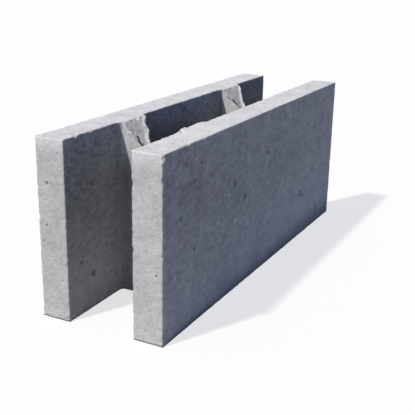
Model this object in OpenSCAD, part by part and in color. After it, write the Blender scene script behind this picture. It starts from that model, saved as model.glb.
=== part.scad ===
// Concrete shuttering block, cast in one piece: two face shells tied together by two notched webs.
// Stacked dry in running bond, its cells line up and are filled with concrete and steel bars.
// Millimetres. X runs along the wall, Y through it and Z up. The origin is at the middle of the underside.

/* [Block] */
// Length from end to end
block_l = 500; // [400:10:600]
// Width over both outer faces
block_w = 150; // [125:5:300]
// Height of one course
block_h = 200; // [160:5:250]

/* [Face shells] */
// Thickness of each face shell
shell_t = 35; // [25:1:45]

/* [Webs] */
// Thickness of each web
web_t = 48; // [30:1:60]
// Radius of the corner where a web runs into a face shell
root_r = 6; // [2:0.5:15]

/* [Notch] */
// Depth of the notch in each web below the top of the block
notch_d = 30; // [20:1:60]
// Width of the notch's floor between its two sides, before its corners are rounded
notch_floor = 12; // [8:1:30]
// Flat left on top of a web between the notch and each face shell
notch_shoulder = 4; // [2:0.5:10]
// Radius between the notch's sides and its floor
notch_r = 10; // [3:1:20]

/* [Hidden] */
$fn = 96;
// How far a cutting shape runs past the face that it leaves
past = 1;
// Clear width between the face shells
cell_w = block_w - 2 * shell_t;
// Distance between the middles of the two webs: half a block, so that webs stand on webs in running bond
web_pitch = block_l / 2;
// From the middle of the block to a web's inner and outer face
web_inner = web_pitch / 2 - web_t / 2;
web_outer = web_pitch / 2 + web_t / 2;
// Half the notch's width at the top, and the lean of its sides from upright
notch_mouth = cell_w / 2 - notch_shoulder;
notch_lean = atan2(notch_mouth - notch_floor / 2, notch_d);
// Half the turn from the floor into a side, which sets where a corner's arc touches the floor
notch_turn = (90 - notch_lean) / 2;
// A corner's radius, no larger than the floor leaves room for
corner_r = min(notch_r, notch_floor / 2 / tan(notch_turn));
corner_y = notch_floor / 2 - corner_r * tan(notch_turn);
corner_z = block_h - notch_d + corner_r;

// Outline of a cell core with rounded corners, from x = from to x = to
module cell_outline(from, to) {
    length = to - from;
    translate([(from + to) / 2, 0]) {
        square([length - 2 * root_r, cell_w], center = true);
        square([length, cell_w - 2 * root_r], center = true);
        for (sx = [-1, 1], sy = [-1, 1])
            translate([sx * (length / 2 - root_r), sy * (cell_w / 2 - root_r)])
                circle(r = root_r);
    }
}

// Core that leaves an open cell, right through from the underside to the top
module cell_core(from, to) {
    translate([0, 0, -past])
        linear_extrude(block_h + 2 * past)
            cell_outline(from, to);
}

// Section of the notch, across the wall and up: leaning sides, a flat floor and rounded corners
module notch_section() {
    touch = [corner_y + corner_r * cos(notch_lean), corner_z - corner_r * sin(notch_lean)];
    half = [
        [corner_y, corner_z - corner_r],
        touch,
        [notch_mouth, block_h],
        [notch_mouth, block_h + past]
    ];
    mirrored = [for (i = [len(half) - 1:-1:0]) [-half[i][0], half[i][1]]];
    polygon(concat(half, mirrored));
    for (side = [-1, 1])
        translate([side * corner_y, corner_z])
            circle(r = corner_r);
}

// Shoe that presses the notch into one web and the corners at its roots
module notch_shoe() {
    rotate([90, 0, 90])
        linear_extrude(web_t + 2 * (root_r + past), center = true)
            notch_section();
}

module shuttering_block() {
    color([0.66, 0.66, 0.67])
        difference() {
            translate([-block_l / 2, -block_w / 2, 0])
                cube([block_l, block_w, block_h]);
            cell_core(-web_inner, web_inner);
            for (end = [0, 180])
                rotate([0, 0, end])
                    cell_core(web_outer, block_l / 2 + root_r + past);
            for (side = [-1, 1])
                translate([side * web_pitch / 2, 0, 0])
                    notch_shoe();
        }
}

shuttering_block();
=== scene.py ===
import random
from math import radians

import bmesh
import bpy
import numpy as np
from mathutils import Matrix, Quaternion, Vector, kdtree, noise


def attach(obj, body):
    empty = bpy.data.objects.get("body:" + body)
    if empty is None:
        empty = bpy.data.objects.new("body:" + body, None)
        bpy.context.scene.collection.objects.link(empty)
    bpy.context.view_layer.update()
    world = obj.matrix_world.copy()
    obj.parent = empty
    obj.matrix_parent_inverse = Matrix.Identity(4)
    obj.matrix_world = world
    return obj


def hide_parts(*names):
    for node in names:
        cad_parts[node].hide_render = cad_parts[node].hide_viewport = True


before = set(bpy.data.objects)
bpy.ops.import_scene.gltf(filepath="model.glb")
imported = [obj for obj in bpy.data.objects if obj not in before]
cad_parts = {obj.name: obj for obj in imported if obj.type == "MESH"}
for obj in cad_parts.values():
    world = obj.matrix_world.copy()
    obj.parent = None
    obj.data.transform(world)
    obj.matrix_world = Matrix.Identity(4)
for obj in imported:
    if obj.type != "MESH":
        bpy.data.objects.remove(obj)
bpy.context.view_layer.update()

# The cast block's flat faces, read from the frame
blockNode = "shuttering_block"
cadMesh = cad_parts[blockNode].data
acrossX, acrossY, upZ = 0, 1, 2
hair = 1e-5  # as good as touching
squareTo = 0.9999  # share of a normal along an axis, from which a face is square to that axis
facing = 0.9  # from which it faces that way
mostly = 0.5  # from which it roughly does
leaning = 0.1  # and from which it leans that way


def flatFaces(axis):  # where the faces square to an axis lie, in order
    square = [face for face in cadMesh.polygons if abs(face.normal[axis]) > squareTo]
    return sorted({round(face.center[axis], 4) for face in square})


xFaces = flatFaces(acrossX)
yFaces = flatFaces(acrossY)
zFaces = flatFaces(upZ)
webs = [(xFaces[1], xFaces[2]), (xFaces[3], xFaces[4])]  # each web's left and right face
nearEnd, farEnd = xFaces[0], xFaces[-1]
frontFace = yFaces[0]
cellHalf = yFaces[2]  # half the clear width between the shells
underside, notchFloor, blockTop = zFaces
leaningFaces = [face for face in cadMesh.polygons if leaning < face.normal.z < facing]
notchSide = max(leaningFaces, key=lambda face: face.area)
sideIn, sideUp = abs(notchSide.normal.y), notchSide.normal.z  # a step square to that side
sideSlope = sideUp / sideIn  # sideways over down
notchMouth = min(abs(vert.co.y) for vert in cadMesh.vertices if vert.co.z > blockTop - hair)
notchDepth = blockTop - notchFloor
floorHalf = notchMouth - sideSlope * notchDepth  # half the floor's width, before its corners are rounded
print("frame read: webs at", webs, "notch mouth", round(notchMouth, 4), "slope", round(sideSlope, 3))

# Each noise is read at a place of its own, so that no two run alike
noiseAt = {
    "mouldedWave": 3.1,
    "roughWave": 7.7,
    "roughGrain": 1.3,
    "usualWear": 2.2,
    "ragged": 4.4,
    "crumbs": 9.1,
    "chips": 6.6,
    "burrs": 12.7,
    "tear": 8.8,
    "shoulder": 6.1,
    "breakLumps": 1.9,
    "breakGrit": 0.4,
    "lip": 2.7,
    "fall": 5.5,
    "crack": 3.3,
    "cornerLump": 5.0,
}


def waves(points, size, name, further=0):  # smooth noise from -1 to 1, with bumps of that size
    return np.array([noise.noise(place) for place in points / size + (noiseAt[name] + further)])


def smooth(low, high, values):  # 0 below low, 1 above high, smooth between
    share = np.clip((values - low) / (high - low), 0, 1)
    return share * share * (3 - 2 * share)


def lineGap(points, places):  # distance from a line along those places
    places = np.array(places)
    gap = np.full(len(points), np.inf)
    for start, end in zip(places, places[1:]):
        run = end - start
        share = np.clip((points - start) @ run / (run @ run), 0, 1)
        gap = np.minimum(gap, np.linalg.norm(points - start - share[:, None] * run, axis=1))
    return gap


# Mesh of the block: cells that get smaller towards the arrises, the rough faces and the pits
blockMesh = {
    "cell": 0.010,  # on the plain moulded faces
    "joinAngle": 1,  # degrees: faces that meet flatter than this are joined before the cells are cut
    "arrisAngle": 35,  # degrees: outward edges sharper than this are arrises
    "shadeAngle": 45,  # degrees: edges sharper than this are shaded sharp
    "arrisReach": (0.012, 0.0065, 0.0032, 0),  # cells nearer an arris than this are halved, once for each
    "pitReach": (0.012, 0.006, 0.003, 0),
    "undersidePasses": 2,  # halvings along the underside's arrises
    "crackReach": 0.0045,
    "roughPasses": 2,  # halvings of the tops and ends
    "brokenPasses": 3,  # halvings of the notches, and then only of their back sides, which show
    "flatsFrom": 0.8,  # share across a web, from which the flat behind its notch is halved each time
}


def isBroken(normal, middle):  # a notch's sides and floor
    inWeb = abs(middle.y) < cellHalf and middle.z > notchFloor - hair
    return inWeb and normal.z > leaning and middle.z < blockTop - hair


def isRough(normal, middle):  # tops, underside and the shells' ends
    atEnd = abs(normal.x) > facing and abs(middle.x) > farEnd - hair
    return atEnd or (abs(normal.z) > facing and not isBroken(normal, middle))


def isWebTop(face):
    middle = face.calc_center_median()
    return abs(middle.y) < cellHalf - hair and middle.z > notchFloor - hair


def findArrises(mesh):  # the sharp outward edges: both ends, two normals summed, and the axis each runs along
    found = []
    for edge in mesh.edges:
        if len(edge.link_faces) == 2 and edge.calc_face_angle_signed() > radians(blockMesh["arrisAngle"]):
            first, second = edge.link_faces
            start, end = [np.array(vert.co) for vert in edge.verts]
            axis = int(np.argmax(np.abs(end - start)))
            found.append((start, end, np.array(first.normal) + np.array(second.normal), axis))
    return found


def nearestArris(points, arrises):  # distance, foot and summed normals of each point's nearest arris
    best = np.full(len(points), np.inf)
    feet = np.zeros((len(points), 3))
    outward = np.zeros((len(points), 3))
    for start, end, normals, axis in arrises:
        along = end - start
        share = np.clip((points - start) @ along / (along @ along), 0, 1)
        foot = start + share[:, None] * along
        gap = np.linalg.norm(points - foot, axis=1)
        nearer = gap < best
        best[nearer] = gap[nearer]
        feet[nearer] = foot[nearer]
        outward[nearer] = normals
    return best, feet, outward


def cutGrid(mesh):  # square cells, lined up with the block's faces
    for axis, places in ((acrossX, xFaces), (acrossY, yFaces), (upZ, zFaces)):
        normal = Vector([float(i == axis) for i in range(3)])
        for start, end in zip(places, places[1:]):
            count = max(1, round((end - start) / blockMesh["cell"]))
            for step in range(1, count + 1):
                faces = list(mesh.faces)
                if axis == acrossY:  # a notch's leaning sides are cut along and down only
                    faces = [face for face in faces if not isBroken(face.normal, face.calc_center_median())]
                parts = set(faces)
                parts.update(edge for face in faces for edge in face.edges)
                parts.update(vert for face in faces for vert in face.verts)
                place = normal * (start + (end - start) * step / count)
                bmesh.ops.bisect_plane(mesh, geom=list(parts), dist=hair, plane_co=place, plane_no=normal)


def cellsToHalve(mesh, level, arrises, pitList):  # the cells that this pass makes smaller
    faces = list(mesh.faces)
    looks = [(face.normal, face.calc_center_median()) for face in faces]
    middles = np.array([middle for normal, middle in looks])
    along, across, up = middles.T
    reach = blockMesh["arrisReach"][level]
    take = nearestArris(middles, arrises)[0] < reach
    if level >= blockMesh["undersidePasses"]:
        take &= up > underside + reach
    broken = np.array([isBroken(*look) for look in looks])
    if level >= blockMesh["brokenPasses"]:
        broken &= across > floorHalf
    take |= broken
    if level < blockMesh["roughPasses"]:
        take |= np.array([isRough(*look) for look in looks]) & (up > underside + hair)
    # the narrow flats behind the notches, where a wall of the break may stand
    flat = (across > notchMouth) & (across < cellHalf) & (up > blockTop - hair)
    for left, right in webs:
        take |= flat & (along > left + blockMesh["flatsFrom"] * (right - left)) & (along < right)
    for web, wide, dark, line in brokenNotch["cracks"]:
        take |= crackGap(middles, web, line) < blockMesh["crackReach"]
    for place, normal, radius in pitList:
        take |= np.linalg.norm(middles - np.array(place), axis=1) < blockMesh["pitReach"][level]
    return [face for face, wanted in zip(faces, take) if wanted]


def halveCells(mesh, level, arrises, pitList):
    # at the tops of the webs, cells with more than four corners get a point in their middle first
    cells = cellsToHalve(mesh, level, arrises, pitList)
    bmesh.ops.poke(mesh, faces=[face for face in cells if len(face.verts) > 4 and isWebTop(face)])
    edges = {edge for face in cellsToHalve(mesh, level, arrises, pitList) for edge in face.edges}
    bmesh.ops.subdivide_edges(mesh, edges=list(edges), cuts=1, use_grid_fill=True)


# Small holes left by air and lost grains: how many to a square metre, and their sizes
pits = {
    "seed": 11,
    "onTops": 1700,
    "onEnds": 1300,
    "onMoulded": 200,
    "radius": (0.0008, 0.0020),
    "mostlySmall": 3,  # power of the random draw: higher gives fewer large ones
    "deep": 0.55,  # depth as a share of the radius
    # larger ones that show on the front shell: place along it, height and radius
    "onFront": (
        (0.0044, 0.1470, 0.0036), (-0.1716, 0.1753, 0.0025), (-0.1864, 0.1586, 0.0030),
        (-0.0877, 0.1313, 0.0042), (-0.0595, 0.1080, 0.0046), (-0.1516, 0.1578, 0.0021),
        (-0.2035, 0.1801, 0.0021), (-0.2141, 0.1266, 0.0025), (-0.1369, 0.1303, 0.0021),
        (-0.1849, 0.0847, 0.0030), (0.1280, 0.0610, 0.0044), (0.1366, 0.0560, 0.0036),
    ),
    # and in the near end cell, on the back shell
    "inCell": ((-0.2256, 0.0601, 0.0026), (-0.2041, 0.0395, 0.0042), (-0.1696, 0.0294, 0.0020)),
}


def scatterPits(mesh):  # places, normals and radii of the pits
    dice = random.Random(pits["seed"])
    small, large = pits["radius"]
    found = []
    for face in mesh.faces:
        middle = face.calc_center_median()
        if isBroken(face.normal, middle):
            continue
        share = pits["onMoulded"]
        if isRough(face.normal, middle):
            share = pits["onEnds"] if abs(face.normal.x) > facing else pits["onTops"]
        if dice.random() < share * face.calc_area():
            corners = [vert.co for vert in face.verts]
            pull = [dice.random() for corner in corners]
            place = sum((corner * weight for corner, weight in zip(corners, pull)), Vector()) / sum(pull)
            radius = small + (large - small) * dice.random() ** pits["mostlySmall"]
            found.append((place, face.normal.copy(), radius))
    toFront, toNear = Vector((0, -1, 0)), Vector((-1, 0, 0))
    for along, up, radius in pits["onFront"]:
        found.append((Vector((along, frontFace, up)), toFront, radius))
    for along, up, radius in pits["inCell"]:
        found.append((Vector((along, cellHalf, up)), toFront, radius))
    for along, low, high, reach, share in marks["flecks"]:  # no holes, but they need cells as small
        found.append((Vector((along, frontFace, (low + high) / 2)), toFront, hair))
    found.append((Vector(marks["speckHole"]), toNear, marks["speckHoleRadius"]))
    return found


def sinkPits(cast, pitList, moved):  # gives how far into a pit each point lies
    tree = kdtree.KDTree(len(cast))
    for index, place in enumerate(cast):
        tree.insert(place, index)
    tree.balance()
    hollow = np.zeros(len(cast))
    for place, normal, radius in pitList:
        for spot, index, gap in tree.find_range(place, radius):
            share = 1 - (gap / radius) ** 2
            hollow[index] = max(hollow[index], share)
            moved[index] -= np.array(normal) * radius * pits["deep"] * share
    return hollow


# Worn arrises: how far the wear reaches over each face beside them
arrisWear = {
    "usual": 0.0004,  # on every arris but the underside's
    "usualVaries": 0.6,
    "usualSize": 0.0030,
    "ragged": 0.0013,  # added where the edge has crumbled
    "raggedSize": 0.0065,  # length of a crumbled stretch
    "crumb": 0.0022,  # small knocked-off bits
    "crumbSize": 0.0085,
    "crumbFrom": (0.30, 0.70),  # noise at which they start and at which they are full: higher is rarer
    "chip": 0.0030,  # a few larger chips
    "chipSize": 0.034,
    "chipFrom": (0.60, 0.75),
    "limit": 0.009,  # no wear further than this from an arris
    "innerTops": 2.0,  # the shells' inner top arrises are the most crumbled
    "others": 0.7,
    "underside": 0.15,
    "nearWorn": (-0.150, -0.050),  # most knocks are left of this stretch, and to its right a share of them
    "farShare": 0.2,
    "burr": 0.0012,  # lumps left standing along the shells' inner top arrises
    "burrSize": 0.010,
    "burrFrom": (0.30, 0.62),
    "burrWide": 0.0045,
    "dustFull": 0.002,  # depth of wear at which the dust on it is full
}


def isInnerTop(feet):  # on a shell's inner top arris
    return (feet[:, upZ] > blockTop - hair) & (np.abs(feet[:, acrossY]) < cellHalf + hair)


def farSide(feet):  # 0 where most of the knocks are, 1 beyond
    return smooth(*arrisWear["nearWorn"], feet[:, acrossX])


def wearAt(feet):  # how far the wear reaches from the arris at these places on it
    atFoot = feet[:, upZ] < underside + hair
    keen = np.where(isInnerTop(feet), arrisWear["innerTops"], arrisWear["others"])
    keen = np.where(atFoot, arrisWear["underside"], keen)
    keen *= 1 - (1 - arrisWear["farShare"]) * farSide(feet)
    varies = 1 + arrisWear["usualVaries"] * waves(feet, arrisWear["usualSize"], "usualWear")
    ragged = np.maximum(waves(feet, arrisWear["raggedSize"], "ragged"), 0)
    crumbs = smooth(*arrisWear["crumbFrom"], waves(feet, arrisWear["crumbSize"], "crumbs"))
    chips = smooth(*arrisWear["chipFrom"], waves(feet, arrisWear["chipSize"], "chips"))
    knocks = arrisWear["ragged"] * ragged + arrisWear["crumb"] * crumbs + arrisWear["chip"] * chips
    return arrisWear["usual"] * varies * ~atFoot + keen * knocks


def burrsAt(feet):  # how high the lumps along an arris stand
    lumps = smooth(*arrisWear["burrFrom"], waves(feet, arrisWear["burrSize"], "burrs")) * isInnerTop(feet)
    return arrisWear["burr"] * lumps * (1 - farSide(feet))


def wearArrises(cast, arrises, moved):  # deepest on the arris itself; gives how deep
    worn = np.zeros(len(cast))
    for axis in (acrossX, acrossY, upZ):
        gaps, feet, outward = nearestArris(cast, [arris for arris in arrises if arris[3] == axis])
        close = gaps < arrisWear["limit"]
        bite = np.zeros(len(cast))
        bite[close] = np.maximum(wearAt(feet[close]) - gaps[close], 0)
        moved -= bite[:, None] * outward / 2  # outward is two normals summed
        worn = np.maximum(worn, bite)
        if axis == acrossX:
            rise = np.maximum(1 - gaps[close] / arrisWear["burrWide"], 0)
            moved[close, upZ] += burrsAt(feet[close]) * rise
    return worn


# Relief of the faces, as the height of their waves
faceRelief = {
    "mouldedWave": 0.00022,
    "mouldedWaveSize": 0.070,
    "roughWave": 0.00035,
    "roughWaveSize": 0.016,
    "roughGrain": 0.00028,
    "roughGrainSize": 0.0055,
    "grainFade": (0.002, 0.004),  # distances from an arris, between which moulded faces lose the grain
}


def waveFaces(cast, normals, kinds, arrises, moved):
    moulded = kinds["moulded"] * faceRelief["mouldedWave"]
    rough = kinds["rough"] * faceRelief["roughWave"]
    relief = moulded * waves(cast, faceRelief["mouldedWaveSize"], "mouldedWave")
    relief += rough * waves(cast, faceRelief["roughWaveSize"], "roughWave")
    byArris = 1 - smooth(*faceRelief["grainFade"], nearestArris(cast, arrises)[0])
    grain = faceRelief["roughGrain"] * waves(cast, faceRelief["roughGrainSize"], "roughGrain")
    relief += grain * np.maximum(kinds["rough"], byArris)
    moved += relief[:, None] * normals


# The notches' sides broke away towards the right, beyond a torn edge that runs back as it goes down
brokenNotch = {
    # the torn edge in each web: depths below the top, and the share across the web at each
    "tearDown": (0.0, 0.004, 0.008, 0.014, 0.020, 0.030),
    "tearAcross": ((0.98, 0.84, 0.70, 0.65, 0.45, 0.32), (1.06, 0.94, 0.79, 0.63, 0.46, 0.26)),
    "jag": 0.035,  # how far the edge swings, as a share of the web's thickness
    "jagSize": 0.0065,
    "frontShift": 0.12,  # the front sides tore off nearer the right face
    "tearFall": 5.0,  # fall beyond the torn edge
    "tornDepth": 0.038,  # how deep that goes below the top, and the slope from there to the right face
    "footSlope": 0.75,
    "below": 0.085,  # from here down a web is as it was cast
    "shoulderLost": (0.0, 0.0060),  # how far down each web's front shoulder broke off
    "shoulderVaries": 0.3,
    "shoulderSlope": 0.7,  # how fast that runs out down the notch's side
    "wall": 0.0010,  # the shells stay whole beside the break, but for this skin
    "wallWhole": 0.2,  # share of the skin that stays too
    "baredFrom": (0.0005, 0.0020),  # depths lost, between which a shell's face is laid bare
    "skin": 0.001,  # points no deeper than this below a notch's side belong to it
    "lumps": 0.0005,  # on the notches' sides
    "lumpSize": 0.009,
    "grit": 0.0004,
    "gritSize": 0.0030,
    "roughFrom": 0.003,  # depth below the top at which these are full
    "fallLumps": 0.0016,  # on the fall beyond the edge
    "fallFrom": (0.001, 0.006),  # depths lost, and distances from a shell, between which those come in
    "lip": 0.0014,  # ridge along the torn edge
    "lipVaries": 0.5,
    "lipVarySize": 0.005,
    "lipShare": (0.19, 0.14),  # its width in each web, as a share of the web's thickness
    "lipPale": 0.5,  # share of that width, back from the edge, that is fully pale: fresh break, partly a painted highlight
    "lipPast": 0.06,  # and how far past the edge it ends
    "crackDeep": 0.45,  # depth as a share of the half width
    "crackWander": 0.4,
    "crackWanderSize": 0.003,
    # cracks in the webs: which web, half width, darkness of the painted shade in it, then places as across
    # from its left face, off the middle and down
    "cracks": (
        (0, 0.0014, 0.22, ((0.0066, 0.0300, 0.0060), (0.0066, 0.0286, 0.0074), (0.0066, 0.0266, 0.0094))),
        (0, 0.0021, 1.00, ((0.0065, 0.0200, 0.0160), (0.0041, 0.0165, 0.0195), (0.0025, 0.0140, 0.0220))),
        (0, 0.0030, 1.00, ((0.0034, 0.0147, 0.0213), (0.0040, 0.0119, 0.0241))),
        (1, 0.0012, 0.35, ((0.0, 0.0299, 0.0097), (0.0, 0.0271, 0.0115), (0.0, 0.0230, 0.0131))),
        (1, 0.0012, 0.35, ((0.0, 0.0230, 0.0131), (0.0039, 0.0210, 0.0150))),
        (1, 0.0030, 0.80, ((0.0046, 0.0211, 0.0149), (0.0047, 0.0171, 0.0189))),
        (1, 0.0020, 0.45, ((0.0047, 0.0171, 0.0189), (0.0061, 0.0126, 0.0234))),
        (1, 0.0018, 0.25, ((0.0173, 0.0201, 0.0159), (0.0131, 0.0159, 0.0201))),
    ),
}


def breakNotches(cast, broken):  # where the webs' points go, their torn edges, and what the break laid bare
    places = cast.copy()
    torn = np.zeros(len(cast))
    bared = np.zeros(len(cast))
    rim = (webs[0][0] - nearEnd) / 2  # the rounded corners at a web's roots lie within this of its faces
    for web, (left, right) in enumerate(webs):
        inWeb = (cast[:, acrossX] > left - rim) & (cast[:, acrossX] < right + rim)
        inWeb &= np.abs(cast[:, acrossY]) < cellHalf - hair
        inWeb &= cast[:, upZ] > blockTop - brokenNotch["below"]
        chosen = np.flatnonzero(inWeb)
        points = cast[chosen]
        across = np.clip((points[:, acrossX] - left) / (right - left), 0, 1)
        half = np.where(points[:, acrossY] < 0, -1.0, 1.0)
        off = np.abs(points[:, acrossY])
        fromShell = cellHalf - off
        depth = blockTop - points[:, upZ]
        surface = (notchMouth - np.clip(off, floorHalf, notchMouth)) / sideSlope  # the notch's depth there
        onNotch = depth < surface + brokenNotch["skin"]

        # beyond the torn edge it falls away
        tear = np.interp(surface, brokenNotch["tearDown"], brokenNotch["tearAcross"][web])
        tear += np.where(half < 0, brokenNotch["frontShift"], 0)
        tear += brokenNotch["jag"] * waves(points * (0, 1, 0), brokenNotch["jagSize"], "tear", web)
        beyond = np.maximum(across - tear, 0) * (right - left)
        foot = brokenNotch["tornDepth"] + brokenNotch["footSlope"] * beyond - surface
        gone = np.minimum(brokenNotch["tearFall"] * beyond, foot)
        varies = 1 + brokenNotch["shoulderVaries"] * waves(points, brokenNotch["lumpSize"], "shoulder")
        shoulder = brokenNotch["shoulderLost"][web] * varies - brokenNotch["shoulderSlope"] * surface
        gone = np.where(half < 0, np.maximum(gone, shoulder), gone)
        bared[chosen] = smooth(*brokenNotch["baredFrom"], gone) * (off > notchMouth - hair)
        gone *= smooth(brokenNotch["wallWhole"] * brokenNotch["wall"], brokenNotch["wall"], fromShell)
        gone *= 1 - np.clip((depth - surface) / (brokenNotch["below"] - surface), 0, 1)

        # rough break and the ridge along its torn edge
        lipShare = brokenNotch["lipShare"][web]
        lipFrom = tear - lipShare
        lipEnd = 1 - smooth(tear, tear + brokenNotch["lipPast"], across)
        varies = 1 + brokenNotch["lipVaries"] * waves(points, brokenNotch["lipVarySize"], "lip")
        rough = brokenNotch["lumps"] * waves(points, brokenNotch["lumpSize"], "breakLumps")
        rough += brokenNotch["grit"] * waves(points, brokenNotch["gritSize"], "breakGrit")
        rough += brokenNotch["lip"] * smooth(lipFrom, tear, across) * lipEnd * varies
        rough *= broken[chosen] * smooth(0, brokenNotch["roughFrom"], depth)
        torn[chosen] = smooth(lipFrom, tear - brokenNotch["lipPale"] * lipShare, across) * lipEnd * onNotch
        places[chosen, acrossY] = half * (off - rough * sideIn)
        places[chosen, upZ] = blockTop - (depth + gone) + rough * sideUp

        # lumps on the fall
        fallen = smooth(*brokenNotch["fallFrom"], gone) * smooth(*brokenNotch["fallFrom"], fromShell)
        lumps = brokenNotch["fallLumps"] * fallen * onNotch
        places[chosen, acrossX] -= lumps * (1 + waves(places[chosen], brokenNotch["lumpSize"], "fall"))
    return places, torn, bared


def crackGap(points, web, line):  # distance from a crack in that web
    return lineGap(points, [(webs[web][0] + across, off, blockTop - down) for across, off, down in line])


def crackWebs(cast, normals, moved):  # gives how dark the painted shade in the cracks is
    crackShade = np.zeros(len(cast))
    for web, wide, dark, line in brokenNotch["cracks"]:
        gap = crackGap(cast, web, line)
        close = gap < 2 * wide  # further off, its wander makes no difference
        wander = waves(cast[close], brokenNotch["crackWanderSize"], "crack")
        gap[close] *= 1 + brokenNotch["crackWander"] * wander
        share = np.maximum(1 - (gap / wide) ** 2, 0)
        crackShade = np.maximum(crackShade, dark * share)
        moved -= brokenNotch["crackDeep"] * wide * share[:, None] * normals
    return crackShade


# Marks that show in one place only
marks = {
    # knocked top corner of the front shell: reach of the chip along the shell, across its end and down
    "cornerChip": (0.0060, 0.0020, 0.0030),
    "chipDust": 4,  # how fast the dust on it gets full
    # lump pushed out below it: depths below the top where it starts and ends, how far out, how far round
    "cornerLump": (0.0022, 0.0095, 0.0024, 0.0050),
    "lumpEase": (0.3, 0.4),  # shares of its height over which it swells and runs out
    "lumpRough": 0.3,
    "lumpRoughSize": 0.003,
    # paleness of the lump: fresh concrete, partly a painted highlight
    "lumpPaleAndHighlight": 0.35,
    "lumpHighlightFrom": (0.1, 0.5),  # shares of the lump between which it gets pale
    # rusty line between the two
    "rustLine": (
        (nearEnd, frontFace + 0.0020, blockTop - 0.0044),
        (nearEnd, frontFace + 0.0008, blockTop - 0.0022),
        (nearEnd + 0.0012, frontFace, blockTop - 0.0013),
        (nearEnd + 0.0078, frontFace, blockTop - 0.0017),
    ),
    "rustWidth": 0.0016,
    "rustCore": 0.3,  # share of the width that is fully brown
    "speck": (nearEnd, 0.0577, 0.1532),  # brown speck on the back shell's end, and the hole beside it
    "speckRadius": 0.0020,
    "speckCore": 0.4,  # share of the radius that is fully brown
    "speckBrown": 0.7,
    "speckHole": (nearEnd, 0.0624, 0.1517),
    "speckHoleRadius": 0.0022,
    # pale flecks on the front shell, and one long, faint scuff: place along it, the heights between which
    # they run, half width, and how pale
    "flecks": (
        (0.1296, 0.0855, 0.0880, 0.0018, 1), (0.0463, 0.1050, 0.1060, 0.0014, 1),
        (0.1871, 0.0855, 0.0900, 0.0012, 1), (0.0705, 0.1800, 0.1815, 0.0014, 1),
        (-0.0170, 0.1420, 0.1835, 0.0020, 0.3), (-0.0852, 0.0845, 0.0860, 0.0017, 1),
        (-0.1298, 0.0958, 0.0965, 0.0012, 1), (-0.2262, 0.0655, 0.0690, 0.0010, 1),
    ),
    "fleckCore": 0.3,  # share of the half width that is fully pale
    "fleckFade": 0.001,  # how far past the half width they end
}


def knockCorner(cast, moved):  # a small facet with a lump below it; gives how far into each a point lies
    chip = np.array(marks["cornerChip"])
    fromCorner = np.abs(cast - np.array((nearEnd, frontFace, blockTop)))
    knocked = np.maximum(1 - (fromCorner / chip).sum(axis=1), 0)
    moved += knocked[:, None] * chip * (1, 1, -1) / 3  # a third along each axis takes the corner to the facet
    top, foot, out, around = marks["cornerLump"]
    swell, runOut = [share * (foot - top) for share in marks["lumpEase"]]
    lump = smooth(top, top + swell, fromCorner[:, upZ])
    lump *= 1 - smooth(foot - runOut, foot, fromCorner[:, upZ])
    lump *= np.maximum(1 - np.hypot(fromCorner[:, acrossX], fromCorner[:, acrossY]) / around, 0)
    varies = 1 + marks["lumpRough"] * waves(cast, marks["lumpRoughSize"], "cornerLump")
    moved[:, acrossY] -= out * lump * varies
    return knocked, lump


def paintMarks(cast, lump):  # the brown stains, the pale flecks, and the lump's paleness, which is partly a painted highlight
    line = lineGap(cast, marks["rustLine"])
    stain = 1 - smooth(marks["rustCore"] * marks["rustWidth"], marks["rustWidth"], line)
    gap = np.linalg.norm(cast - np.array(marks["speck"]), axis=1)
    speck = 1 - smooth(marks["speckCore"] * marks["speckRadius"], marks["speckRadius"], gap)
    stain = np.maximum(stain, marks["speckBrown"] * speck)
    fleckAndHighlight = marks["lumpPaleAndHighlight"] * smooth(*marks["lumpHighlightFrom"], lump)
    for along, low, high, reach, share in marks["flecks"]:
        gap = lineGap(cast, ((along, frontFace, low), (along, frontFace, high)))
        spot = 1 - smooth(marks["fleckCore"] * reach, reach + marks["fleckFade"], gap)
        fleckAndHighlight = np.maximum(fleckAndHighlight, share * spot)
    return stain, fleckAndHighlight


# Where painted shade and painted sky light fall on the faces, and where the shells' ends are paler
faceTones = {
    "nearCell": 0.25,  # share of the painted shade on the shells in the near open cell
    "nearTop": 0.46,  # at the top of that cell
    "middleRight": 0.66,  # at the right of the middle cell, whose left is fully in painted shade
    "middleTop": 0.70,  # at the top of that cell
    "farCell": 0.76,  # and in the far cell
    "skyLightFrom": (0.165, 0.197),  # heights between which the painted sky light at the cells' tops comes in
    "webCorner": 0.45,  # share of painted shade on the webs beside the shells, where a shell's shadow falls
    "webShadeReach": (0.012, 0.026),  # distances from a shell between which that runs out
    "webShadeTop": (0.140, 0.172),  # and heights
    "webRough": 0.80,  # how rough the webs' faces are: 1 is like the ends
    "cornerShadeShare": 0.35,  # painted shade in the cells' corners
    "cornerShadeReach": (0.008, 0.045),  # distances from a web between which it runs out
    "nearCellShade": 0.30,  # painted shade all over the near cell, below its top
    "footShadeHeight": (0.005, 0.034),  # height of the painted shade along the outer faces' foot at the near end and at the far one
    "endTone": -0.04,  # tone of the shells' ends, and what is added at their top and foot
    "endTop": 0.28,
    "endTopReach": (0.003, 0.017),
    "endFoot": 0.09,
    "endFootReach": (0.003, 0.030),
    "endFacing": 0.8,  # share of a point's normal, so that the arrises stay as they are
}


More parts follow.
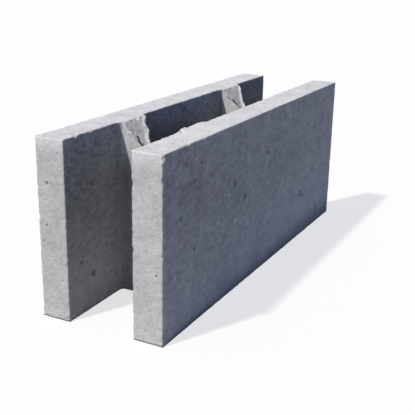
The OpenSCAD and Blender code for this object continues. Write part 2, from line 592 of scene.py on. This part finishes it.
def paintCells(cast, normals, moulded, wall):  # shares of painted shade, painted sky light and painted corner shade in the cells, and the webs' faces
    along, up = cast[:, acrossX], cast[:, upZ]
    fromShell = cellHalf - np.abs(cast[:, acrossY])
    high = smooth(*faceTones["skyLightFrom"], up)
    near = faceTones["nearCell"] + (faceTones["nearTop"] - faceTones["nearCell"]) * high
    middle = 1 - (1 - faceTones["middleRight"]) * smooth(webs[0][1], webs[1][0], along)
    middle += (faceTones["middleTop"] - middle) * high
    dark = np.where(along < webs[0][1], near, middle)
    dark = np.where(along > webs[1][0], faceTones["farCell"], dark)
    cellFace = moulded * (fromShell > -hair) * (np.abs(normals[:, acrossY]) > mostly)
    onWeb = moulded * (fromShell > hair) * (np.abs(normals[:, acrossX]) > mostly)
    # painted shadow of the shells on the webs' faces beside them
    corner = onWeb * (1 - smooth(*faceTones["webShadeReach"], fromShell))
    corner *= 1 - smooth(*faceTones["webShadeTop"], up)
    cellShade = np.maximum(dark * np.maximum(cellFace, wall), faceTones["webCorner"] * corner)
    # painted shade in the cells' corners beside the webs, over the near cell below its top, and on the webs'
    # shadowed faces
    toWeb = np.min([np.abs(along - face) for face in xFaces[1:-1]], axis=0)
    cornerShade = faceTones["cornerShadeShare"] * (1 - smooth(*faceTones["cornerShadeReach"], toWeb))
    cornerShade = cellFace * np.maximum(cornerShade, faceTones["nearCellShade"] * (along < webs[0][1]) * (1 - high))
    cornerShade = np.maximum(cornerShade, faceTones["cornerShadeShare"] * corner)
    return cellShade, high * (along < webs[1][0]), cornerShade, onWeb


def paintFootShade(cast, moulded):  # painted shade along the foot of the outer faces, higher towards the far end
    low, high = faceTones["footShadeHeight"]
    top = low + (high - low) * (cast[:, acrossX] - nearEnd) / (farEnd - nearEnd)
    outer = np.abs(cast[:, acrossY]) > cellHalf + hair
    return moulded * outer * (1 - smooth(0, 1, cast[:, upZ] / top))


def paintEnds(cast, normals, rough):  # the shells' ends are paler towards the top and the foot
    toTop = 1 - smooth(*faceTones["endTopReach"], blockTop - cast[:, upZ])
    toFoot = 1 - smooth(*faceTones["endFootReach"], cast[:, upZ] - underside)
    atEnd = rough * (np.abs(normals[:, acrossX]) > faceTones["endFacing"])
    return atEnd * (faceTones["endTone"] + faceTones["endTop"] * toTop + faceTones["endFoot"] * toFoot)


def faceKinds(verts):  # what share of the faces round each point is moulded, broken or rough
    broken, rough = [], []
    for vert in verts:
        looks = [(face.normal, face.calc_center_median()) for face in vert.link_faces]
        broken.append(sum(isBroken(*look) for look in looks) / len(looks))
        rough.append(sum(isRough(*look) for look in looks) / len(looks))
    broken, rough = np.array(broken), np.array(rough)
    return {"moulded": 1 - broken - rough, "broken": broken, "rough": rough}


def shapeBlock(mesh, arrises, pitList):  # moves the points, and gives what the concrete needs to know of them
    verts = list(mesh.verts)
    cast = np.array([vert.co for vert in verts])
    normals = np.array([vert.normal for vert in verts])
    kinds = faceKinds(verts)
    places, torn, bared = breakNotches(cast, kinds["broken"])

    # where the break laid a shell's inner face bare, it is as moulded
    wall = bared * (cellHalf - np.abs(cast[:, acrossY]) < brokenNotch["wall"] + hair)
    kinds["rough"] *= 1 - bared
    kinds["broken"] += (1 - kinds["broken"]) * (bared - wall)
    kinds["moulded"] += (1 - kinds["moulded"]) * wall

    moved = np.zeros_like(cast)
    crackShade = crackWebs(cast, normals, moved)
    worn = wearArrises(cast, arrises, moved)
    waveFaces(cast, normals, kinds, arrises, moved)
    hollow = sinkPits(cast, pitList, moved)
    knocked, lump = knockCorner(cast, moved)
    places += moved
    places[:, upZ] = np.maximum(places[:, upZ], underside)  # it stands on the high spots of its underside
    for vert, place in zip(verts, places):
        vert.co = place

    stain, fleckAndHighlight = paintMarks(cast, lump)
    cellShade, paintedSkyLight, cornerShade, onWeb = paintCells(cast, normals, kinds["moulded"], wall)
    return {
        "moulded": kinds["moulded"] - faceTones["webRough"] * onWeb,
        "broken": kinds["broken"],
        "cellShade": cellShade,
        "paintedSkyLight": paintedSkyLight,
        "cornerShade": cornerShade,
        "torn": torn,
        "hollow": hollow,
        "crackShade": crackShade,
        "stain": stain,
        "fleckAndHighlight": fleckAndHighlight,
        "footShade": paintFootShade(cast, kinds["moulded"]),
        "pale": paintEnds(cast, normals, kinds["rough"]),
        "worn": np.clip(np.maximum(worn / arrisWear["dustFull"], knocked * marks["chipDust"]), 0, 1),
    }


def buildBlock():
    mesh = bmesh.new()
    mesh.from_mesh(cadMesh)
    bmesh.ops.remove_doubles(mesh, verts=mesh.verts, dist=hair)
    joinAngle = radians(blockMesh["joinAngle"])
    bmesh.ops.dissolve_limit(mesh, angle_limit=joinAngle, verts=mesh.verts, edges=mesh.edges)
    arrises = findArrises(mesh)
    print("block:", len(mesh.faces), "cast faces,", len(arrises), "arrises")
    cutGrid(mesh)
    pitList = scatterPits(mesh)
    print("block:", len(mesh.faces), "cells,", len(pitList), "pits")
    for level in range(len(blockMesh["arrisReach"])):
        halveCells(mesh, level, arrises, pitList)
        print("block: halved to", len(mesh.faces), "cells")
    mesh.normal_update()
    layers = shapeBlock(mesh, arrises, pitList)
    bmesh.ops.triangulate(mesh, faces=mesh.faces)
    data = bpy.data.meshes.new("cast_block")
    mesh.to_mesh(data)
    mesh.free()
    for name, values in layers.items():
        layer = data.attributes.new(name, "FLOAT", "POINT")
        layer.data.foreach_set("value", values.astype(np.float32))
    data.shade_smooth()
    data.set_sharp_from_angle(angle=radians(blockMesh["shadeAngle"]))
    return data


# Shader maths as Python expressions on sockets
class Wire:
    def __init__(self, tree, socket=None):
        self.tree = tree
        self.socket = socket

    def add(self, kind, settings, sockets, output=0):  # any node: settings first, then values or links
        node = self.tree.nodes.new("ShaderNode" + kind)
        for name, value in settings.items():
            setattr(node, name, value)
        for name, value in sockets.items():
            if isinstance(value, Wire):
                self.tree.links.new(value.socket, node.inputs[name])
            else:
                node.inputs[name].default_value = value
        return Wire(self.tree, node.outputs[output] if len(node.outputs) else None)

    def math(self, operation, first, second):
        return self.add("Math", {"operation": operation}, {0: first, 1: second})

    def mix(self, factor, first, second, blend="MIX"):  # by the Mix node's sockets for colours
        first = first if isinstance(first, Wire) else (*first, 1)
        second = second if isinstance(second, Wire) else (*second, 1)
        settings = {"data_type": "RGBA", "blend_type": blend}
        return self.add("Mix", settings, {0: factor, 6: first, 7: second}, 2)

    def __add__(self, other):
        return self.math("ADD", self, other)

    def __sub__(self, other):
        return self.math("SUBTRACT", self, other)

    def __rsub__(self, other):
        return self.math("SUBTRACT", other, self)

    def __mul__(self, other):
        return self.math("MULTIPLY", self, other)

    __radd__ = __add__
    __rmul__ = __mul__


def emptySheet(owner):  # a material's or the world's node tree, cleared
    owner.use_nodes = True
    owner.node_tree.nodes.clear()
    return Wire(owner.node_tree)


# Bare grey concrete
concrete = {
    "rough": (0.60, 0.60, 0.60),  # tops and ends, with the grain showing
    "moulded": (0.455, 0.454, 0.468),  # faces cast against steel, darker and bluer than the rough faces: partly their own tone, partly painted shade
    "cellShade": (0.140, 0.139, 0.155),  # painted shade on the shells' faces in the cells
    "cellSkyLight": (0.200, 0.225, 0.300),  # painted sky light on the same faces near their tops
    # olive-tinted painted shade in the cells' corners
    "cornerShade": (0.15, 0.148, 0.112),
    "broken": (0.47, 0.468, 0.458),
    "dust": (0.60, 0.60, 0.60),  # on worn arrises
    "dustShare": 0.55,
    # pale along the torn edge: fresh break, partly a painted highlight
    "torn": (0.62, 0.62, 0.62),
    "tornShare": 0.8,
    # painted shade in the pits
    "pitShade": (0.12, 0.12, 0.13),
    "pitShare": 0.6,
    "pitFull": 0.6,  # how far in a pit that is reached
    # painted shade in the cracks
    "crack": (0.05, 0.05, 0.055),
    "crackShare": 0.9,
    "crackFull": 0.4,  # and how far in a crack
    # pale flecks, and the lump's paleness, partly a painted highlight
    "fleckAndHighlight": (0.86, 0.86, 0.86),
    "rust": (0.22, 0.13, 0.11),
    "rustShare": 0.8,
    "rustFrom": (0.35, 0.85),  # shares of the stain between which it comes in
    "rustGrain": 0.5,  # how far the grain breaks it up
    # noises: size of the bumps, detail, and how they are squeezed along each axis
    "noises": {
        "cloud": (0.080, 4, (1, 1, 1)),
        "patch": (0.022, 5, (1, 1, 1)),
        "speckle": (0.0055, 2, (0.6, 1, 1)),
        "grain": (0.0024, 3, (1, 1, 1)),
        "fine": (0.0009, 2, (1, 1, 1)),
        "streak": (0.012, 3, (1, 1, 0.075)),
    },
    "stoneSize": 0.0065,  # stones that show where it broke
    # how strongly each noise shows in the tone of each kind of face
    "roughTones": {"grain": 0.42, "fine": 0.15, "speckle": 0.34, "patch": 0.40},
    "mouldedTones": {"streak": 0.20, "patch": 0.40, "speckle": 0.80, "grain": 0.40},
    "insideTones": {"speckle": 0.5, "grain": 0.8},  # added to the moulded ones
    "brokenTones": {"stones": 0.18, "grain": 0.5},
    "cloudTone": 0.30,  # on all of them
    "footHeight": 0.15,  # up to here the moulded faces get paler towards the foot, as painted light bounced from the ground
    "footLight": 0.28,
    "footLightInCells": 1.8,
    "farPale": 0.44,  # and towards the far end, per metre
    "footShadeDark": 0.5,  # how much darker the painted shade along the foot is
    "bumpStrength": 0.55,
    "bumpDistance": 0.0006,
    "bumpFine": 0.4,
    "bumpMoulded": 0.7,  # how much of the bump the moulded faces lack
    "roughness": 0.82,
    "roughnessGrain": 0.2,
    "roughnessMoulded": 0.06,  # how much smoother the moulded faces are
    "specular": 0.3,
}


def concreteMaterial():
    material = bpy.data.materials.new("bare_concrete")
    sheet = emptySheet(material)
    place = sheet.add("TexCoord", {}, {}, "Object")

    def noiseOf(size, detail, squeeze):
        scaled = sheet.add("VectorMath", {"operation": "MULTIPLY"}, {0: place, 1: squeeze}, "Vector")
        return sheet.add("TexNoise", {}, {"Vector": scaled, "Scale": 1 / size, "Detail": detail}, "Fac")

    def between(value, low, high):
        settings = {"interpolation_type": "SMOOTHSTEP"}
        return sheet.add("MapRange", settings, {"Value": value, "From Min": low, "From Max": high})

    def layer(name):
        return sheet.add("Attribute", {"attribute_name": name}, {}, "Fac")

    moulded = layer("moulded")
    broken = layer("broken")
    cellShade = layer("cellShade")
    noises = {name: noiseOf(*values) for name, values in concrete["noises"].items()}
    stones = sheet.add("TexVoronoi", {}, {"Vector": place, "Scale": 1 / concrete["stoneSize"]}, "Color")
    noises["stones"] = sheet.add("SeparateColor", {}, {"Color": stones}, "Red")
    swings = {name: value - 0.5 for name, value in noises.items()}  # to either side of 0

    def toneOf(shares, middle):
        return sum((swings[name] * share for name, share in shares.items()), middle)

    # light and dark grain shows on the rough faces, streaks on the moulded ones
    roughTone = toneOf(concrete["roughTones"], 1)
    mouldedTone = toneOf(concrete["mouldedTones"], 1) + cellShade * toneOf(concrete["insideTones"], 0)
    brokenTone = toneOf(concrete["brokenTones"], 1)
    tone = roughTone * (1 - moulded) + mouldedTone * moulded
    tone = tone * (1 - broken) + brokenTone * broken
    along = sheet.add("SeparateXYZ", {}, {"Vector": place}, "X")
    up = sheet.add("SeparateXYZ", {}, {"Vector": place}, "Z")
    # paler towards the foot as painted light bounced from the ground, and towards the far end
    foot = 1 - between(up, 0, concrete["footHeight"])
    footLight = concrete["footLight"] + cellShade * (concrete["footLightInCells"] - concrete["footLight"])
    tone = tone + swings["cloud"] * concrete["cloudTone"]
    tone = tone + moulded * (foot * footLight + along * concrete["farPale"])
    # darker along the outer faces' foot as painted shade, and the ends paler at top and foot
    tone = tone * (1 - layer("footShade") * concrete["footShadeDark"]) + layer("pale")
    greyTone = sheet.add("CombineColor", {}, {"Red": tone, "Green": tone, "Blue": tone})

    colour = sheet.mix(moulded, concrete["rough"], concrete["moulded"])
    # painted shade on the shells' faces in the cells, lighter and bluer near their tops as painted sky light
    cellShadeColour = sheet.mix(layer("paintedSkyLight"), concrete["cellShade"], concrete["cellSkyLight"])
    colour = sheet.mix(cellShade, colour, cellShadeColour)
    # olive-tinted painted shade in the cells' corners
    colour = sheet.mix(layer("cornerShade"), colour, concrete["cornerShade"])
    colour = sheet.mix(broken, colour, concrete["broken"])
    colour = sheet.mix(layer("worn") * concrete["dustShare"], colour, concrete["dust"])
    # pale along the torn edge: fresh break, partly a painted highlight
    colour = sheet.mix(layer("torn") * concrete["tornShare"], colour, concrete["torn"])
    colour = sheet.mix(1, colour, greyTone, "MULTIPLY")
    # painted shade in the pits
    pitShade = between(layer("hollow"), 0, concrete["pitFull"])
    colour = sheet.mix(pitShade * concrete["pitShare"], colour, concrete["pitShade"])
    # painted shade in the cracks
    crack = between(layer("crackShade"), 0, concrete["crackFull"])
    colour = sheet.mix(crack * concrete["crackShare"], colour, concrete["crack"])
    # pale flecks, and the lump's paleness, partly a painted highlight
    colour = sheet.mix(layer("fleckAndHighlight"), colour, concrete["fleckAndHighlight"])
    rust = between(layer("stain") + swings["grain"] * concrete["rustGrain"], *concrete["rustFrom"])
    colour = sheet.mix(rust * concrete["rustShare"], colour, concrete["rust"])

    height = noises["grain"] * (1 - moulded * concrete["bumpMoulded"]) + noises["fine"] * concrete["bumpFine"]
    lumps = {"Height": height, "Strength": concrete["bumpStrength"], "Distance": concrete["bumpDistance"]}
    roughness = concrete["roughness"] + swings["grain"] * concrete["roughnessGrain"]
    surface = {
        "Base Color": colour,
        "Roughness": roughness - moulded * concrete["roughnessMoulded"],
        "Normal": sheet.add("Bump", {}, lumps, "Normal"),
        "Specular IOR Level": concrete["specular"],
    }
    sheet.add("OutputMaterial", {}, {"Surface": sheet.add("BsdfPrincipled", {}, surface, "BSDF")})
    return material


def addObject(name, data):
    made = bpy.data.objects.new(name, data)
    bpy.context.scene.collection.objects.link(made)
    return made


castBlock = addObject("cast_block", buildBlock())
castBlock.data.materials.append(concreteMaterial())
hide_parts(blockNode)
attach(castBlock, "root")
print("block made:", len(castBlock.data.polygons), "triangles")

# Floor and lights
studio = {
    "floorHalf": 6.0,
    "floorColour": (0.22, 0.22, 0.22),
    "floorSeen": (0.84, 0.84, 0.84),  # as the camera sees it
    "floorWhite": 0.70,  # share of plain white that the camera sees
    "white": (1, 1, 1, 1),
    "sunFrom": (-0.525, 0.255, 0.82),
    "sunPower": 3.6,
    "sunColour": (1.0, 0.947, 0.878),
    "sunWidth": 3.5,  # in degrees
    "sky": (0.53, 0.66, 1.0, 1),
    "skyPower": 0.38,
}


def makeFloor():
    mesh = bmesh.new()
    bmesh.ops.create_grid(mesh, x_segments=1, y_segments=1, size=studio["floorHalf"])
    data = bpy.data.meshes.new("floor")
    mesh.to_mesh(data)
    mesh.free()
    floor = addObject("floor", data)
    material = bpy.data.materials.new("pale_floor")
    sheet = emptySheet(material)
    seen = sheet.add("LightPath", {}, {}, "Is Camera Ray")
    tone = sheet.mix(seen, studio["floorColour"], studio["floorSeen"])
    matt = sheet.add("BsdfDiffuse", {}, {"Color": tone})
    white = sheet.add("Emission", {}, {"Color": studio["white"], "Strength": 1})
    shown = sheet.add("MixShader", {}, {0: seen * studio["floorWhite"], 1: matt, 2: white})
    sheet.add("OutputMaterial", {}, {"Surface": shown})
    data.materials.append(material)


def makeLights():
    lamp = bpy.data.lights.new("key", "SUN")
    lamp.energy = studio["sunPower"]
    lamp.color = studio["sunColour"]
    lamp.angle = radians(studio["sunWidth"])
    key = addObject("key", lamp)
    key.rotation_mode = "QUATERNION"
    key.rotation_quaternion = (-Vector(studio["sunFrom"])).to_track_quat("-Z", "Y")
    world = bpy.data.worlds.new("studio")
    sheet = emptySheet(world)
    sky = sheet.add("Background", {}, {"Color": studio["sky"], "Strength": studio["skyPower"]})
    white = sheet.add("Background", {}, {"Color": studio["white"], "Strength": 1})
    seen = sheet.add("LightPath", {}, {}, "Is Camera Ray")
    shown = sheet.add("MixShader", {}, {0: seen, 1: sky, 2: white})
    sheet.add("OutputWorld", {}, {"Surface": shown})
    bpy.context.scene.world = world


# Camera, fitted to the block's straight edges in the photo
view = {
    "place": (-0.849960, -0.428387, 0.381454),
    "aim": (0.845204, 0.431026, -0.315987),
    "roll": 1.164,  # in degrees
    "focalPixels": 773.93,
    "framePixels": 415,
    "sensorWidth": 36,
}


def makeCamera():
    data = bpy.data.cameras.new("camera")
    data.sensor_width = view["sensorWidth"]
    data.sensor_fit = "HORIZONTAL"
    data.lens = view["focalPixels"] / view["framePixels"] * view["sensorWidth"]
    camera = addObject("camera", data)
    camera.location = view["place"]
    camera.rotation_mode = "QUATERNION"
    roll = Quaternion((0, 0, 1), radians(view["roll"]))
    camera.rotation_quaternion = Vector(view["aim"]).to_track_quat("-Z", "Y") @ roll
    bpy.context.scene.camera = camera


makeFloor()
makeLights()
makeCamera()
bpy.context.scene.view_settings.view_transform = "Standard"
print("studio made")
